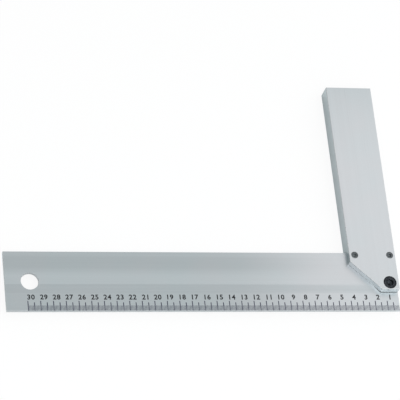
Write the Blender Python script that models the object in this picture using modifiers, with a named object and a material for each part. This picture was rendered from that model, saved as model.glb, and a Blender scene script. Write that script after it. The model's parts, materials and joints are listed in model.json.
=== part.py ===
"""Adjustable carpenter square: an extruded aluminium blade held in a slotted aluminium handle.

The square lies on the back of its handle. X runs along the blade towards the heel, Y up the handle and
Z out of the face that carries the scale. Pieces are modelled from the heel corner, where the outer edges
of blade and handle meet, and the datum empty then moves that corner so that the origin lies under the
middle of the whole square. The blade turns a little about the pivot screw, the eccentric at the heel
pushes it to the true right angle, and the clamp screw holds it there.
"""

import math

import bmesh
import bpy
from mathutils import Matrix, Vector

# Blade, an extruded ruler with a sunk scale face along its outer edge
BLADE_LENGTH = 0.317
BLADE_WIDTH = 0.050
BLADE_THICKNESS = 0.003
SCALE_FACE_WIDTH = 0.0149
SCALE_FACE_DROP = 0.0006
SCALE_LIP_WIDTH = 0.0006
SCALE_LIP_RISE = 0.0002
SLOPE_WIDTH = 0.0067
BLADE_EDGE_ROUND = 0.0003
HANG_HOLE_DIAMETER = 0.014
HANG_HOLE_INSET = 0.0196

# Handle, an extrusion with a flat hollow that takes the blade
HANDLE_WIDTH = 0.0385
HANDLE_LENGTH = 0.1821
HANDLE_THICKNESS = 0.014
HANDLE_FOOT = 0.0159
MITRE_SIZE = 0.0241
HANDLE_EDGE_ROUND = 0.0004
HOLLOW_SIDE_WALL = 0.004
SLOT_END_ROOM = 0.0008

# Plug that closes the hollow at the top of the handle
PLUG_LENGTH = 0.010
PLUG_RECESS = 0.0003
PLUG_ROUND = 0.0004

# Pivot screw and clamp screw, alike, with their washers and flanged inserts
SCREW_INSET_X = 0.0046
SCREW_DROP_Y = 0.0043
SCREW_RADIUS = 0.0015
SCREW_HEAD_RADIUS = 0.00275
SCREW_HEAD_HEIGHT = 0.0026
SCREW_HEAD_ROUND = 0.0003
SCREW_TIP_HEIGHT = 0.001
SCREW_SOCKET_WIDTH = 0.0025
SCREW_SOCKET_DEPTH = 0.0014
HEAD_RECESS = 0.0002
WASHER_THICKNESS = 0.0005
WASHER_SPLIT_WIDTH = 0.0005
INSERT_RADIUS = 0.0023
INSERT_FLANGE_RADIUS = 0.0031
INSERT_FLANGE_THICKNESS = 0.0008
CLAMP_HOLE_ROOM = 0.0009

# Bush pressed into the blade round the pivot screw
BUSH_WALL = 0.0007

# Eccentric at the heel and the ring that keeps it in
ECCENTRIC_INSET_X = 0.0075
ECCENTRIC_RISE_Y = 0.006
ECCENTRIC_HEAD_RADIUS = 0.00505
ECCENTRIC_HEAD_HEIGHT = 0.0034
ECCENTRIC_HEAD_ROUND = 0.0005
ECCENTRIC_JOURNAL_RADIUS = 0.0037
ECCENTRIC_SOCKET_WIDTH = 0.005
ECCENTRIC_SOCKET_DEPTH = 0.002
CAM_RADIUS = 0.003
CAM_OFFSET = 0.00045
CAM_SLOT_ROOM = 0.0007
SHAFT_RADIUS = 0.002
SHAFT_END_HEIGHT = 0.0003
GROOVE_DEPTH = 0.0007
RING_RADIUS = 0.0034
RING_THICKNESS = 0.0006
RING_MOUTH_WIDTH = 0.0018

# Clearance between neighbours, how far a cutter runs past what it cuts, and how near points are welded
GAP = 0.0003
OVERRUN = 0.002
WELD_DISTANCE = 0.00001

# Counts of sides and bevel steps
ROUND_SIDES = 48
SMALL_SIDES = 32
HEX_SIDES = 6
EDGE_STEPS = 2
SMOOTH_ANGLE = math.radians(35)
FLAT_ANGLE = math.radians(1)

# Levels of the layers, counted from the back of the handle
MIDDLE_Z = HANDLE_THICKNESS / 2
BLADE_BACK_Z = MIDDLE_Z - BLADE_THICKNESS / 2
BLADE_FRONT_Z = MIDDLE_Z + BLADE_THICKNESS / 2
SLOT_BACK_Z = BLADE_BACK_Z - GAP
SLOT_FRONT_Z = BLADE_FRONT_Z + GAP
HEAD_TOP_Z = HANDLE_THICKNESS - HEAD_RECESS
SCREW_HEAD_BACK_Z = HEAD_TOP_Z - SCREW_HEAD_HEIGHT
WASHER_TOP_Z = SCREW_HEAD_BACK_Z - GAP
WASHER_BACK_Z = WASHER_TOP_Z - WASHER_THICKNESS
SCREW_SEAT_Z = WASHER_BACK_Z - GAP
ECCENTRIC_HEAD_BACK_Z = HEAD_TOP_Z - ECCENTRIC_HEAD_HEIGHT
ECCENTRIC_SEAT_Z = ECCENTRIC_HEAD_BACK_Z - GAP
INSERT_BACK_Z = GAP
INSERT_FLANGE_TOP_Z = INSERT_BACK_Z + INSERT_FLANGE_THICKNESS
INSERT_SEAT_Z = INSERT_FLANGE_TOP_Z + GAP
GROOVE_BACK_Z = SHAFT_END_HEIGHT + GAP
RING_BACK_Z = GROOVE_BACK_Z + GAP
RING_TOP_Z = RING_BACK_Z + RING_THICKNESS
GROOVE_TOP_Z = RING_TOP_Z + GAP
RING_SEAT_Z = GROOVE_TOP_Z

# Places in the plane of the square, counted from the heel corner
HANDLE_TOP_Y = HANDLE_FOOT + HANDLE_LENGTH
SCREW_Y = BLADE_WIDTH - SCREW_DROP_Y
PIVOT = Vector((-SCREW_INSET_X, SCREW_Y, 0))
CLAMP = Vector((-HANDLE_WIDTH + SCREW_INSET_X, SCREW_Y, 0))
ECCENTRIC = Vector((-ECCENTRIC_INSET_X, HANDLE_FOOT + ECCENTRIC_RISE_Y, 0))
HANG_HOLE = Vector((-BLADE_LENGTH + HANG_HOLE_INSET, BLADE_WIDTH / 2, 0))
SLOT_END_Y = BLADE_WIDTH + SLOT_END_ROOM
BUSH_INNER_RADIUS = SCREW_RADIUS + GAP
BUSH_OUTER_RADIUS = BUSH_INNER_RADIUS + BUSH_WALL

COLLECTION_NAME = "carpenter_square"
CUTTER_COLLECTION_NAME = "cutters"


def clear_scene():
    """Remove what the file starts with."""
    for item in list(bpy.data.objects):
        bpy.data.objects.remove(item, do_unlink=True)
    for item in list(bpy.data.collections):
        bpy.data.collections.remove(item)


def make_collection(name):
    """Return a new collection in the scene."""
    collection = bpy.data.collections.new(name)
    bpy.context.scene.collection.children.link(collection)
    return collection


def make_material(name, color, roughness, metallic):
    """Return a Principled material."""
    material = bpy.data.materials.new(name)
    material.use_nodes = True
    shader = material.node_tree.nodes["Principled BSDF"]
    shader.inputs["Base Color"].default_value = (*color, 1)
    shader.inputs["Roughness"].default_value = roughness
    shader.inputs["Metallic"].default_value = metallic
    return material


def add_object(name, mesh, location, collection):
    """Return an object for the mesh, placed from the heel corner."""
    item = bpy.data.objects.new(name, mesh)
    item.location = location
    collection.objects.link(item)
    return item


def add_piece(name, mesh, location, material):
    """Return a named sub-part with its material."""
    item = add_object(name, mesh, location, bpy.data.collections[COLLECTION_NAME])
    mesh.materials.clear()
    mesh.materials.append(material)
    return item


def mark_cutter(item):
    """Show a cutter as wire only."""
    item.display_type = "WIRE"
    item.hide_render = True
    return item


def shade_round(mesh):
    """Shade the round faces smooth and keep the real edges sharp."""
    mesh.shade_smooth()
    mesh.set_sharp_from_angle(angle=SMOOTH_ANGLE)


def prism_mesh(name, outline, half_depth, turn=None, origin=None):
    """Return a closed prism, a flat outline extruded both ways, with its origin where asked."""
    curve = bpy.data.curves.new(name + "_outline", "CURVE")
    curve.dimensions = "2D"
    curve.fill_mode = "BOTH"
    curve.extrude = half_depth
    spline = curve.splines.new("POLY")
    spline.points.add(len(outline) - 1)
    for point, (x, y) in zip(spline.points, outline):
        point.co = (x, y, 0, 1)
    spline.use_cyclic_u = True
    guide = bpy.data.objects.new(name + "_guide", curve)
    bpy.context.scene.collection.objects.link(guide)
    bpy.context.view_layer.update()
    evaluated = guide.evaluated_get(bpy.context.evaluated_depsgraph_get())
    mesh = bpy.data.meshes.new_from_object(evaluated)
    mesh.name = name
    bpy.data.objects.remove(guide, do_unlink=True)
    bpy.data.curves.remove(curve)
    shape = bmesh.new()
    shape.from_mesh(mesh)
    bmesh.ops.remove_doubles(shape, verts=shape.verts, dist=WELD_DISTANCE)
    bmesh.ops.dissolve_limit(
        shape, angle_limit=FLAT_ANGLE, verts=shape.verts, edges=shape.edges
    )
    if turn is not None:
        bmesh.ops.transform(shape, matrix=turn, verts=shape.verts)
    if origin is not None:
        bmesh.ops.translate(shape, vec=-origin, verts=shape.verts)
    bmesh.ops.recalc_face_normals(shape, faces=shape.faces)
    shape.to_mesh(mesh)
    shape.free()
    return mesh


def cylinder_mesh(name, radius, bottom, top, sides, angle=0.0):
    """Return an upright closed cylinder between two levels."""
    mesh = bpy.data.meshes.new(name)
    shape = bmesh.new()
    place = Matrix.Translation((0, 0, (bottom + top) / 2)) @ Matrix.Rotation(angle, 4, "Z")
    bmesh.ops.create_cone(
        shape,
        cap_ends=True,
        segments=sides,
        radius1=radius,
        radius2=radius,
        depth=top - bottom,
        matrix=place,
    )
    shape.to_mesh(mesh)
    shape.free()
    return mesh


def turned_piece(name, profile, location, material, sides):
    """Return a turned piece from a closed profile of radius and level, given down its outer side."""
    mesh = bpy.data.meshes.new(name)
    shape = bmesh.new()
    points = [shape.verts.new((radius, 0, level)) for radius, level in profile]
    for first, second in zip(points, points[1:]):
        shape.edges.new((first, second))
    if profile[0][0] > 0:
        shape.edges.new((points[-1], points[0]))
    shape.to_mesh(mesh)
    shape.free()
    item = add_piece(name, mesh, location, material)
    spin = item.modifiers.new("turn", "SCREW")
    spin.steps = sides
    spin.render_steps = sides
    spin.use_merge_vertices = True
    spin.merge_threshold = WELD_DISTANCE
    spin.use_smooth_shade = True
    spin.use_normal_calculate = False
    return item


def add_bevel(item, width):
    """Round the real edges of a piece."""
    bevel = item.modifiers.new("edges", "BEVEL")
    bevel.width = width
    bevel.segments = EDGE_STEPS
    bevel.limit_method = "ANGLE"
    bevel.angle_limit = SMOOTH_ANGLE
    return bevel


def cut(item, name, mesh, location, operation="DIFFERENCE"):
    """Cut or join a piece with a tool that stays in the cutters' collection."""
    tool = add_object(name, mesh, location, bpy.data.collections[CUTTER_COLLECTION_NAME])
    mark_cutter(tool)
    change = item.modifiers.new(name, "BOOLEAN")
    change.operation = operation
    change.solver = "EXACT"
    change.object = tool
    return tool


def cut_round(item, name, place, radius, bottom, top, sides):
    """Cut an upright round hole between two levels at a place counted from the heel."""
    cut(item, name, cylinder_mesh(name, radius, bottom, top, sides), place)


def cut_hexagon(item, name, place, width, depth):
    """Sink a hexagon socket into a head."""
    radius = width / 2 / math.cos(math.pi / HEX_SIDES)
    bottom = HEAD_TOP_Z - depth
    mesh = cylinder_mesh(name, radius, bottom, HEAD_TOP_Z + OVERRUN, HEX_SIDES, math.pi / HEX_SIDES)
    cut(item, name, mesh, place)


def blade_section():
    """Return the blade's section as points of width and level, from the pivot's line."""
    scale_front = BLADE_FRONT_Z - SCALE_FACE_DROP
    slope_foot = SCALE_FACE_WIDTH + SCALE_LIP_WIDTH
    return [
        (0, BLADE_BACK_Z),
        (BLADE_WIDTH, BLADE_BACK_Z),
        (BLADE_WIDTH, BLADE_FRONT_Z),
        (slope_foot + SLOPE_WIDTH, BLADE_FRONT_Z),
        (slope_foot, scale_front - SCALE_LIP_RISE),
        (SCALE_FACE_WIDTH, scale_front),
        (0, scale_front),
    ]


def build_blade(material):
    """Build the ruler blade, with its origin on the pivot screw's axis."""
    along_x = Matrix(((0, 0, 1, 0), (1, 0, 0, 0), (0, 1, 0, 0), (0, 0, 0, 1)))
    middle = Matrix.Translation((-BLADE_LENGTH / 2, 0, 0))
    mesh = prism_mesh("blade", blade_section(), BLADE_LENGTH / 2, middle @ along_x, PIVOT)
    blade = add_piece("blade", mesh, PIVOT, material)
    add_bevel(blade, BLADE_EDGE_ROUND)
    bottom = BLADE_BACK_Z - OVERRUN
    top = BLADE_FRONT_Z + OVERRUN
    cut_round(blade, "hang_hole", HANG_HOLE, HANG_HOLE_DIAMETER / 2, bottom, top, ROUND_SIDES)
    cut_round(blade, "bush_hole", PIVOT, BUSH_OUTER_RADIUS + GAP, bottom, top, SMALL_SIDES)
    clamp_radius = SCREW_RADIUS + CLAMP_HOLE_ROOM
    cut_round(blade, "clamp_hole", CLAMP, clamp_radius, bottom, top, SMALL_SIDES)
    cam_slot = obround_outline(CAM_RADIUS + GAP, CAM_OFFSET + CAM_SLOT_ROOM, ROUND_SIDES)
    half_depth = BLADE_THICKNESS / 2 + OVERRUN
    mesh = prism_mesh("cam_slot", cam_slot, half_depth)
    cut(blade, "cam_slot", mesh, ECCENTRIC + Vector((0, 0, MIDDLE_Z)))
    return blade


def obround_outline(radius, half_run, sides):
    """Return a slot outline with round ends, long in Y."""
    half = sides // 2
    points = []
    for middle, start in ((half_run, 0.0), (-half_run, math.pi)):
        for step in range(half + 1):
            angle = start + math.pi * step / half
            points.append((radius * math.cos(angle), middle + radius * math.sin(angle)))
    return points


def handle_outline():
    """Return the handle's outline, with the mitre at its inner lower corner."""
    return [
        (0, HANDLE_FOOT),
        (0, HANDLE_TOP_Y),
        (-HANDLE_WIDTH, HANDLE_TOP_Y),
        (-HANDLE_WIDTH, HANDLE_FOOT + MITRE_SIZE),
        (-HANDLE_WIDTH + MITRE_SIZE, HANDLE_FOOT),
    ]


def hollow_outline():
    """Return the blade slot and the hollow above it as one outline."""
    inner_x = -HANDLE_WIDTH + HOLLOW_SIDE_WALL
    return [
        (OVERRUN, HANDLE_FOOT - OVERRUN),
        (OVERRUN, SLOT_END_Y),
        (-HOLLOW_SIDE_WALL, SLOT_END_Y),
        (-HOLLOW_SIDE_WALL, HANDLE_TOP_Y + OVERRUN),
        (inner_x, HANDLE_TOP_Y + OVERRUN),
        (inner_x, SLOT_END_Y),
        (-HANDLE_WIDTH - OVERRUN, SLOT_END_Y),
        (-HANDLE_WIDTH - OVERRUN, HANDLE_FOOT - OVERRUN),
    ]


def build_handle(material):
    """Build the handle extrusion with its slot, hollow, counterbores and holes."""
    mesh = prism_mesh("handle_body", handle_outline(), HANDLE_THICKNESS / 2)
    handle = add_piece("handle_body", mesh, (0, 0, MIDDLE_Z), material)
    add_bevel(handle, HANDLE_EDGE_ROUND)
    hollow = prism_mesh("blade_slot", hollow_outline(), (SLOT_FRONT_Z - SLOT_BACK_Z) / 2)
    cut(handle, "blade_slot", hollow, (0, 0, MIDDLE_Z))
    above = HANDLE_THICKNESS + OVERRUN
    for label, place in (("pivot", PIVOT), ("clamp", CLAMP)):
        head = SCREW_HEAD_RADIUS + GAP
        cut_round(handle, label + "_counterbore", place, head, SCREW_SEAT_Z, above, SMALL_SIDES)
        shank = SCREW_RADIUS + GAP
        cut_round(handle, label + "_shank_hole", place, shank, MIDDLE_Z, above, SMALL_SIDES)
        body = INSERT_RADIUS + GAP
        cut_round(handle, label + "_insert_hole", place, body, -OVERRUN, MIDDLE_Z, SMALL_SIDES)
        flange = INSERT_FLANGE_RADIUS + GAP
        cut_round(handle, label + "_flange_seat", place, flange, -OVERRUN, INSERT_SEAT_Z, SMALL_SIDES)
    head = ECCENTRIC_HEAD_RADIUS + GAP
    cut_round(handle, "eccentric_counterbore", ECCENTRIC, head, ECCENTRIC_SEAT_Z, above, ROUND_SIDES)
    journal = ECCENTRIC_JOURNAL_RADIUS + GAP
    cut_round(handle, "journal_hole", ECCENTRIC, journal, MIDDLE_Z, above, SMALL_SIDES)
    shaft = SHAFT_RADIUS + GAP
    cut_round(handle, "shaft_hole", ECCENTRIC, shaft, -OVERRUN, MIDDLE_Z, SMALL_SIDES)
    ring = RING_RADIUS + GAP
    cut_round(handle, "ring_seat", ECCENTRIC, ring, -OVERRUN, RING_SEAT_Z, SMALL_SIDES)
    return handle


def build_plug(material):
    """Build the plug that closes the hollow at the top."""
    width = HANDLE_WIDTH - 2 * HOLLOW_SIDE_WALL - 2 * GAP
    thickness = SLOT_FRONT_Z - SLOT_BACK_Z - 2 * GAP
    middle = (-HANDLE_WIDTH / 2, HANDLE_TOP_Y - PLUG_RECESS - PLUG_LENGTH / 2, MIDDLE_Z)
    mesh = bpy.data.meshes.new("end_plug")
    shape = bmesh.new()
    size = Matrix.Diagonal((width, PLUG_LENGTH, thickness, 1))
    bmesh.ops.create_cube(shape, size=1, matrix=size)
    shape.to_mesh(mesh)
    shape.free()
    plug = add_piece("end_plug", mesh, middle, material)
    add_bevel(plug, PLUG_ROUND)
    return plug


def build_screw(name, place, material):
    """Build a socket head screw, with its origin on its own axis."""
    rim = SCREW_HEAD_RADIUS - SCREW_HEAD_ROUND
    tip = SCREW_RADIUS - SCREW_HEAD_ROUND
    profile = [
        (0, HEAD_TOP_Z),
        (rim, HEAD_TOP_Z),
        (SCREW_HEAD_RADIUS, HEAD_TOP_Z - SCREW_HEAD_ROUND),
        (SCREW_HEAD_RADIUS, SCREW_HEAD_BACK_Z),
        (SCREW_RADIUS, SCREW_HEAD_BACK_Z),
        (SCREW_RADIUS, SCREW_TIP_HEIGHT + SCREW_HEAD_ROUND),
        (tip, SCREW_TIP_HEIGHT),
        (0, SCREW_TIP_HEIGHT),
    ]
    screw = turned_piece(name, profile, place, material, SMALL_SIDES)
    cut_hexagon(screw, name + "_socket", place, SCREW_SOCKET_WIDTH, SCREW_SOCKET_DEPTH)
    return screw


def build_washer(name, place, material):
    """Build the split spring washer under a screw head."""
    inner = SCREW_RADIUS + GAP
    profile = [
        (SCREW_HEAD_RADIUS, WASHER_TOP_Z),
        (SCREW_HEAD_RADIUS, WASHER_BACK_Z),
        (inner, WASHER_BACK_Z),
        (inner, WASHER_TOP_Z),
    ]
    washer = turned_piece(name, profile, place, material, SMALL_SIDES)
    cut_mouth(washer, name + "_split", place, WASHER_SPLIT_WIDTH, SCREW_HEAD_RADIUS, WASHER_TOP_Z)
    return washer


def cut_mouth(item, name, place, width, reach, level):
    """Open a ring on its upper side with a straight cut."""
    mesh = bpy.data.meshes.new(name)
    shape = bmesh.new()
    run = reach + OVERRUN
    middle = Matrix.Translation((0, run / 2, level))
    size = Matrix.Diagonal((width, run, OVERRUN * 2, 1))
    bmesh.ops.create_cube(shape, size=1, matrix=middle @ size)
    shape.to_mesh(mesh)
    shape.free()
    cut(item, name, mesh, place)


def build_insert(name, place, material):
    """Build the flanged threaded insert that a screw pulls against the back cheek."""
    inner = SCREW_RADIUS + GAP
    top = SLOT_BACK_Z - GAP
    profile = [
        (INSERT_RADIUS, top),
        (INSERT_RADIUS, INSERT_FLANGE_TOP_Z),
        (INSERT_FLANGE_RADIUS, INSERT_FLANGE_TOP_Z),
        (INSERT_FLANGE_RADIUS, INSERT_BACK_Z),
        (inner, INSERT_BACK_Z),
        (inner, top),
    ]
    return turned_piece(name, profile, place, material, SMALL_SIDES)


def build_bush(material):
    """Build the bush in the blade that turns on the pivot screw."""
    profile = [
        (BUSH_OUTER_RADIUS, BLADE_FRONT_Z),
        (BUSH_OUTER_RADIUS, BLADE_BACK_Z),
        (BUSH_INNER_RADIUS, BLADE_BACK_Z),
        (BUSH_INNER_RADIUS, BLADE_FRONT_Z),
    ]
    return turned_piece("pivot_bush", profile, PIVOT, material, SMALL_SIDES)


def build_eccentric(material):
    """Build the eccentric: a head and journals on one axis, with an offset cam in the blade's slot."""
    rim = ECCENTRIC_HEAD_RADIUS - ECCENTRIC_HEAD_ROUND
    groove = SHAFT_RADIUS - GROOVE_DEPTH
    profile = [
        (0, HEAD_TOP_Z),
        (rim, HEAD_TOP_Z),
        (ECCENTRIC_HEAD_RADIUS, HEAD_TOP_Z - ECCENTRIC_HEAD_ROUND),
        (ECCENTRIC_HEAD_RADIUS, ECCENTRIC_HEAD_BACK_Z),
        (ECCENTRIC_JOURNAL_RADIUS, ECCENTRIC_HEAD_BACK_Z),
        (ECCENTRIC_JOURNAL_RADIUS, SLOT_FRONT_Z),
        (SHAFT_RADIUS, SLOT_FRONT_Z),
        (SHAFT_RADIUS, GROOVE_TOP_Z),
        (groove, GROOVE_TOP_Z),
        (groove, GROOVE_BACK_Z),
        (SHAFT_RADIUS, GROOVE_BACK_Z),
        (SHAFT_RADIUS, SHAFT_END_HEIGHT),
        (0, SHAFT_END_HEIGHT),
    ]
    eccentric = turned_piece("eccentric", profile, ECCENTRIC, material, ROUND_SIDES)
    cam_top = (SLOT_FRONT_Z + ECCENTRIC_HEAD_BACK_Z) / 2
    cam = cylinder_mesh("cam", CAM_RADIUS, BLADE_BACK_Z, cam_top, ROUND_SIDES)
    cut(eccentric, "cam", cam, ECCENTRIC - Vector((0, CAM_OFFSET, 0)), "UNION")
    cut_hexagon(
        eccentric, "eccentric_socket", ECCENTRIC, ECCENTRIC_SOCKET_WIDTH, ECCENTRIC_SOCKET_DEPTH
    )
    return eccentric


def build_ring(material):
    """Build the open ring that snaps into the groove of the eccentric."""
    inner = SHAFT_RADIUS - GROOVE_DEPTH + GAP
    profile = [
        (RING_RADIUS, RING_TOP_Z),
        (RING_RADIUS, RING_BACK_Z),
        (inner, RING_BACK_Z),
        (inner, RING_TOP_Z),
    ]
    ring = turned_piece("retaining_ring", profile, ECCENTRIC, material, SMALL_SIDES)
    cut_mouth(ring, "ring_mouth", ECCENTRIC, RING_MOUTH_WIDTH, RING_RADIUS, RING_TOP_Z)
    return ring


def place_datum():
    """Hang every piece and cutter on one empty that puts the origin under the square's middle."""
    datum = bpy.data.objects.new("heel_corner", None)
    bpy.context.scene.collection.objects.link(datum)
    for name in (COLLECTION_NAME, CUTTER_COLLECTION_NAME):
        for item in bpy.data.collections[name].objects:
            item.parent = datum
    datum.location = (BLADE_LENGTH / 2, -HANDLE_TOP_Y / 2, 0)


def main():
    """Build the whole square."""
    clear_scene()
    make_collection(COLLECTION_NAME)
    make_collection(CUTTER_COLLECTION_NAME)
    anodised = make_material("anodised_aluminium", (0.62, 0.65, 0.66), 0.38, 1.0)
    black = make_material("black_steel", (0.02, 0.02, 0.022), 0.35, 1.0)
    plated = make_material("plated_steel", (0.55, 0.55, 0.53), 0.3, 1.0)
    bronze = make_material("bush_bronze", (0.55, 0.38, 0.18), 0.4, 1.0)
    plastic = make_material("grey_plastic", (0.18, 0.19, 0.2), 0.5, 0.0)
    for item in (build_blade(anodised), build_handle(anodised)):
        shade_round(item.data)
    build_plug(plastic)
    build_bush(bronze)
    for label, place in (("pivot", PIVOT), ("clamp", CLAMP)):
        build_screw(label + "_screw", place, black)
        build_washer(label + "_washer", place, plated)
        build_insert(label + "_insert", place, plated)
    build_eccentric(black)
    build_ring(plated)
    place_datum()


main()
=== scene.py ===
"""Adjustable carpenter square: an anodised ruler blade clamped in a slotted handle, ready to be looked at.

The packed parts give every place. Each operator models one piece of the square, or one group of like pieces.
The last one lays the square on a pale floor under soft studio light. Lengths are in metres. The origin lies
under the middle of the square, X runs along the blade to the heel, Y up the handle, Z out of its face.
"""

import contextlib
import json
import math

import bmesh
import bpy
from bpy.props import FloatProperty, FloatVectorProperty, IntProperty, PointerProperty
from mathutils import Matrix, Vector


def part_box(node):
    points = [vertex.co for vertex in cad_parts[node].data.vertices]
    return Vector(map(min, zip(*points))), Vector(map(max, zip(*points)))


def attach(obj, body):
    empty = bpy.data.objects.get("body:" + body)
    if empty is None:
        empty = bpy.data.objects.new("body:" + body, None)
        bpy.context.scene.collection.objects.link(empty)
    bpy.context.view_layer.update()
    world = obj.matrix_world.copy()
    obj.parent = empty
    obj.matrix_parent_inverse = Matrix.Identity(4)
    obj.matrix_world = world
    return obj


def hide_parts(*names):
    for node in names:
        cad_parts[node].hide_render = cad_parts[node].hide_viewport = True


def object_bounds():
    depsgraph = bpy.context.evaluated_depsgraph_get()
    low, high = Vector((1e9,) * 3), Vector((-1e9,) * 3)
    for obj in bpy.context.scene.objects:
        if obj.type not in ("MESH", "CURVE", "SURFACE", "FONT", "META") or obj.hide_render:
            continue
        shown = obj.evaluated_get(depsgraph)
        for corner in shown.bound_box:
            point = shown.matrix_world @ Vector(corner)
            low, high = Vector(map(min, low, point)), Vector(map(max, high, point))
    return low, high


bl_info = {
    "name": "Carpenter square",
    "version": (1, 0, 0),
    "blender": (4, 5, 0),
    "location": "3D View > Sidebar > Square",
    "description": "Models an adjustable carpenter square round its packed parts",
    "category": "Add Mesh",
}

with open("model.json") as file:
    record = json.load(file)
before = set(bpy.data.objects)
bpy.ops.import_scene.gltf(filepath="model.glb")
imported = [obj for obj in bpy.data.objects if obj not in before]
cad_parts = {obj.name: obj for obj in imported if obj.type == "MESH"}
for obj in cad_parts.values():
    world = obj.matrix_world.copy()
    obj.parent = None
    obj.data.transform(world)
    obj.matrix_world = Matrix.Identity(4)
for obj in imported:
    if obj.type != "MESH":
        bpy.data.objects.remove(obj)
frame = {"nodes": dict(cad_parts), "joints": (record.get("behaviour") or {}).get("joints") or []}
CAD_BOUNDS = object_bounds()

# Corners of the packed parts, and the level half way up the handle's thickness
BLADE_LOW, BLADE_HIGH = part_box("blade")
HANDLE_LOW, HANDLE_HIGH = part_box("handle_body")
PLUG_LOW, PLUG_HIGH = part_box("end_plug")
SCREW_LOW, SCREW_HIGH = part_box("pivot_screw")
WASHER_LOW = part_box("pivot_washer")[0]
INSERT_LOW, INSERT_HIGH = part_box("pivot_insert")
ECCENTRIC_LOW, ECCENTRIC_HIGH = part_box("eccentric")
RING_LOW, RING_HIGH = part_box("retaining_ring")
MIDDLE_Z = (HANDLE_LOW.z + HANDLE_HIGH.z) / 2

# Outer radii of the round parts
BUSH_RADIUS, HEAD_RADIUS, FLANGE_RADIUS, ECCENTRIC_RADIUS, RING_RADIUS = (
    (high.x - low.x) / 2
    for low, high in map(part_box, ("pivot_bush", "pivot_screw", "pivot_insert", "eccentric", "retaining_ring"))
)

# Axes of the joints
AXES = {joint["name"]: Vector(joint["pos_m"]) for joint in frame["joints"]}
PIVOT = AXES["blade_pivot"]
CLAMP = AXES["clamp_screw_turn"]
TURNER = AXES["eccentric_turn"]
SCREW_AXES = {"pivot": PIVOT, "clamp": CLAMP}

# Gap between neighbours, how far a cutter runs past what it cuts, how near two places count as one,
# and the shortest edge that a cut may leave
GAP = 0.0003
OVERRUN = 0.002
NEAR = 0.000002
WELD = 0.00002

# How much of a face's normal lies along an axis, where the face is square to it and where it slants
SQUARE_ON = 0.99
SLANT_LEAST = 0.2
SLANT_MOST = 0.98

# How near a corner lies to the side of its round hole, and how near the corners of the letters are merged
ROUND_NEAR = 0.00001
LETTER_NEAR = 0.0000005

# Places of the worn finish and of the handle's sides painted darker as shade among a piece's materials
WORN = 1
SHADED_SIDE = 2

# Share of the print's thickness that lies in the face, capitals' share of the size of the letters,
# space between them, and steps in their curves
SUNK_SHARE = 1 / 3
CAPITAL_SHARE = 0.7
LETTER_SPACE = 1.12
LETTER_STEPS = 4

# Shares of a socket's radius that the drilled point in its floor takes: its tip and its depth
TIP_SHARE = 1 / 8
POINT_SHARE = 1 / 3

# How strongly the die's fine and broad lines are stretched, along the extrusion and across it, and
# where the painted shade bands across the blade begin to fade toward the heel and where they are gone
FINE_LINES = (6, 2600)
BROAD_LINES = (3, 260)
SHADE_BANDS_FADE = 0.03
SHADE_BANDS_END = 0.12

# Sides of round shapes and angles that part real edges from round faces
FINE_SIDES = 96
ROUND_SIDES = 64
SMALL_SIDES = 40
HEX_SIDES = 6
SMOOTH_ANGLE = math.radians(32)
CORNER_ANGLE = math.radians(50)


def length_property(name, description, default):
    """Return a property that holds a length."""
    return FloatProperty(
        name=name, description=description, default=default, min=0, unit="LENGTH", precision=5
    )


def colour_property(name, description, default):
    """Return a property that holds a colour."""
    return FloatVectorProperty(
        name=name, description=description, default=default, min=0, max=1, size=3, subtype="COLOR"
    )


def glow_property(name, description, default):
    """Return a property that holds the colour and strength of a lamp."""
    return FloatVectorProperty(
        name=name, description=description, default=default, min=0, size=3, subtype="COLOR"
    )


def place_property(name, description, default):
    """Return a property that holds a place or two sides."""
    return FloatVectorProperty(name=name, description=description, default=default, unit="LENGTH")


def way_property(name, description, default):
    """Return a property that holds a direction."""
    return FloatVectorProperty(name=name, description=description, default=default, subtype="XYZ")


def share_property(name, description, default):
    """Return a property that holds a share or a strength."""
    return FloatProperty(name=name, description=description, default=default, min=0, subtype="FACTOR")


class BladeSizes(bpy.types.PropertyGroup):
    """Sizes of the ruler blade."""

    scale_width: length_property("Scale width", "Width of the sunk face that carries the scale", 0.0149)
    scale_drop: length_property("Scale drop", "How far the scale face lies below the main face", 0.0006)
    lip_width: length_property("Lip width", "Width of the small step beside the scale face", 0.0006)
    lip_drop: length_property("Lip drop", "Fall of the step beside the scale face", 0.0002)
    slope_width: length_property("Slope width", "Width of the slope up to the main face", 0.0067)
    crown: length_property("Crown", "How far the main face dips between its edges", 0.00005)
    edge: length_property("Edge", "Width of the broken edges", 0.00015)
    hang_hole: length_property("Hanging hole", "Diameter of the hanging hole", 0.014)
    hang_hole_inset: length_property("Hole inset", "From the blade's end to the hanging hole", 0.0196)
    clamp_hole: length_property("Clamp hole", "Diameter of the hole round the clamp screw", 0.0048)
    cam_slot_room: length_property("Cam slot", "Half of the straight run of the cam slot", 0.00115)


class ScaleSizes(bpy.types.PropertyGroup):
    """Sizes of the printed scale."""

    pitch: length_property("Pitch", "Distance between two ticks", 0.001)
    ticks: IntProperty(name="Ticks", description="Number of millimetres on the scale", default=300, min=10)
    foot: length_property("Foot", "From the blade's edge to the foot of a tick", 0.00015)
    short: length_property("Short tick", "Length of a millimetre tick", 0.0044)
    middle: length_property("Middle tick", "Length of a five millimetre tick", 0.0070)
    long: length_property("Long tick", "Length of a centimetre tick", 0.0083)
    thin: length_property("Thin line", "Width of a millimetre tick", 0.00034)
    bold: length_property("Bold line", "Width of the longer ticks", 0.00066)
    number_height: length_property("Number height", "Height of the numbers", 0.0043)
    number_foot: length_property("Number foot", "From the blade's edge to the foot of the numbers", 0.0095)
    number_shift: length_property("Number shift", "From a centimetre tick to its number's middle", 0.0027)
    number_weight: length_property("Number weight", "How far the strokes are thickened", 0.00017)
    ink: length_property("Ink", "Thickness of the print", 0.00003)


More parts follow.
